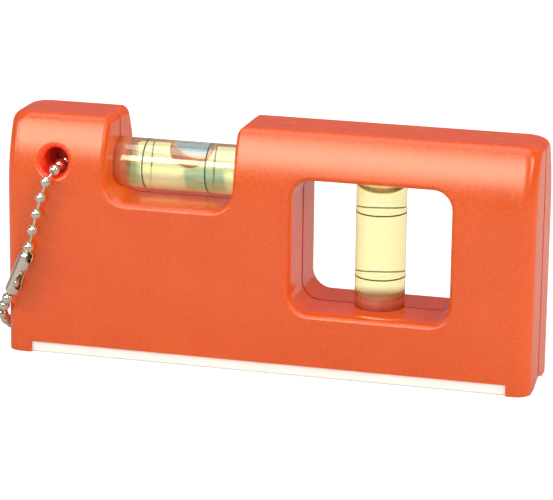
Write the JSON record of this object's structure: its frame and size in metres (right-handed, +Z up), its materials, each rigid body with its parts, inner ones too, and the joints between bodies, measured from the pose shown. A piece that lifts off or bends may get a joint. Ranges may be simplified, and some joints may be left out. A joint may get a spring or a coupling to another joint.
{
  "type": "pocket spirit level",
  "caption": "Pocket spirit level with a horizontal vial in a top notch, a plumb vial across a window, a V-grooved metal base rail and a keyring ball chain.",
  "frame": {"origin": "middle of the object's box in X and Y, on the base plane under the rail and feet", "axes": "+X along the base away from the keyring end, +Y from the front face to the rear face, +Z up"},
  "size_m": [0.1195, 0.0301, 0.0528],
  "materials": {
    "orange_shell": "satin gloss",
    "rail_aluminium": "milled bright",
    "clear_acrylic": "clear gloss",
    "marker_ink": "matt",
    "vial_liquid": "clear tinted",
    "bubble_air": "clear",
    "chain_nickel": "nickel plated"
  },
  "bodies": {
    "level": {"front_shell": "orange_shell", "rear_shell": "orange_shell", "base_rail": "rail_aluminium", "horizontal_vial_tube": "clear_acrylic", "horizontal_vial_plug": "clear_acrylic", "horizontal_mark_1": "marker_ink", "horizontal_mark_2": "marker_ink", "horizontal_liquid": "vial_liquid", "plumb_vial_tube": "clear_acrylic", "plumb_vial_plug": "clear_acrylic", "plumb_mark_1": "marker_ink", "plumb_mark_2": "marker_ink", "plumb_liquid": "vial_liquid"},
    "chain": {"chain_bead_01": "chain_nickel", "chain_bead_02": "chain_nickel", "chain_bead_03": "chain_nickel", "chain_bead_04": "chain_nickel", "chain_bead_05": "chain_nickel", "chain_bead_06": "chain_nickel", "chain_bead_07": "chain_nickel", "chain_bead_08": "chain_nickel", "chain_bead_09": "chain_nickel", "chain_bead_10": "chain_nickel", "chain_bead_11": "chain_nickel", "chain_bead_12": "chain_nickel", "chain_bead_13": "chain_nickel", "chain_bead_14": "chain_nickel", "chain_bead_15": "chain_nickel", "chain_bead_16": "chain_nickel", "chain_bead_17": "chain_nickel", "chain_bead_18": "chain_nickel", "chain_bead_19": "chain_nickel", "chain_bead_20": "chain_nickel", "chain_bead_21": "chain_nickel", "chain_bead_22": "chain_nickel", "chain_bead_23": "chain_nickel", "chain_bead_24": "chain_nickel", "chain_bead_25": "chain_nickel", "chain_bead_26": "chain_nickel", "chain_bead_27": "chain_nickel", "chain_bead_28": "chain_nickel", "chain_bead_29": "chain_nickel", "chain_bead_30": "chain_nickel", "chain_bead_31": "chain_nickel"},
    "connector": {"chain_connector": "chain_nickel"},
    "horizontal_bubble": {"horizontal_bubble": "bubble_air"},
    "plumb_bubble": {"plumb_bubble": "bubble_air"}
  },
  "joints": [
    {"name": "chain_swing", "type": "hinge", "parent": "level", "child": "chain", "pos_m": [-0.0451, 0, 0.0429], "axis": [0, 1, 0], "range_deg": [0, 190]},
    {"name": "connector_swivel", "type": "hinge", "parent": "chain", "child": "connector", "pos_m": [-0.05259, -0.0134, 0.01836], "axis": [-0.3859, 0, -0.9225], "continuous": true},
    {"name": "horizontal_bubble_slide", "type": "slide", "parent": "level", "child": "horizontal_bubble", "axis": [1, 0, 0], "range_m": [-0.0058, 0.0085]},
    {"name": "plumb_bubble_slide", "type": "slide", "parent": "level", "child": "plumb_bubble", "axis": [0, 0, 1], "range_m": [-0.02, 0], "stiffness_N_per_m": 1, "springref_m": 0.008}
  ]
}
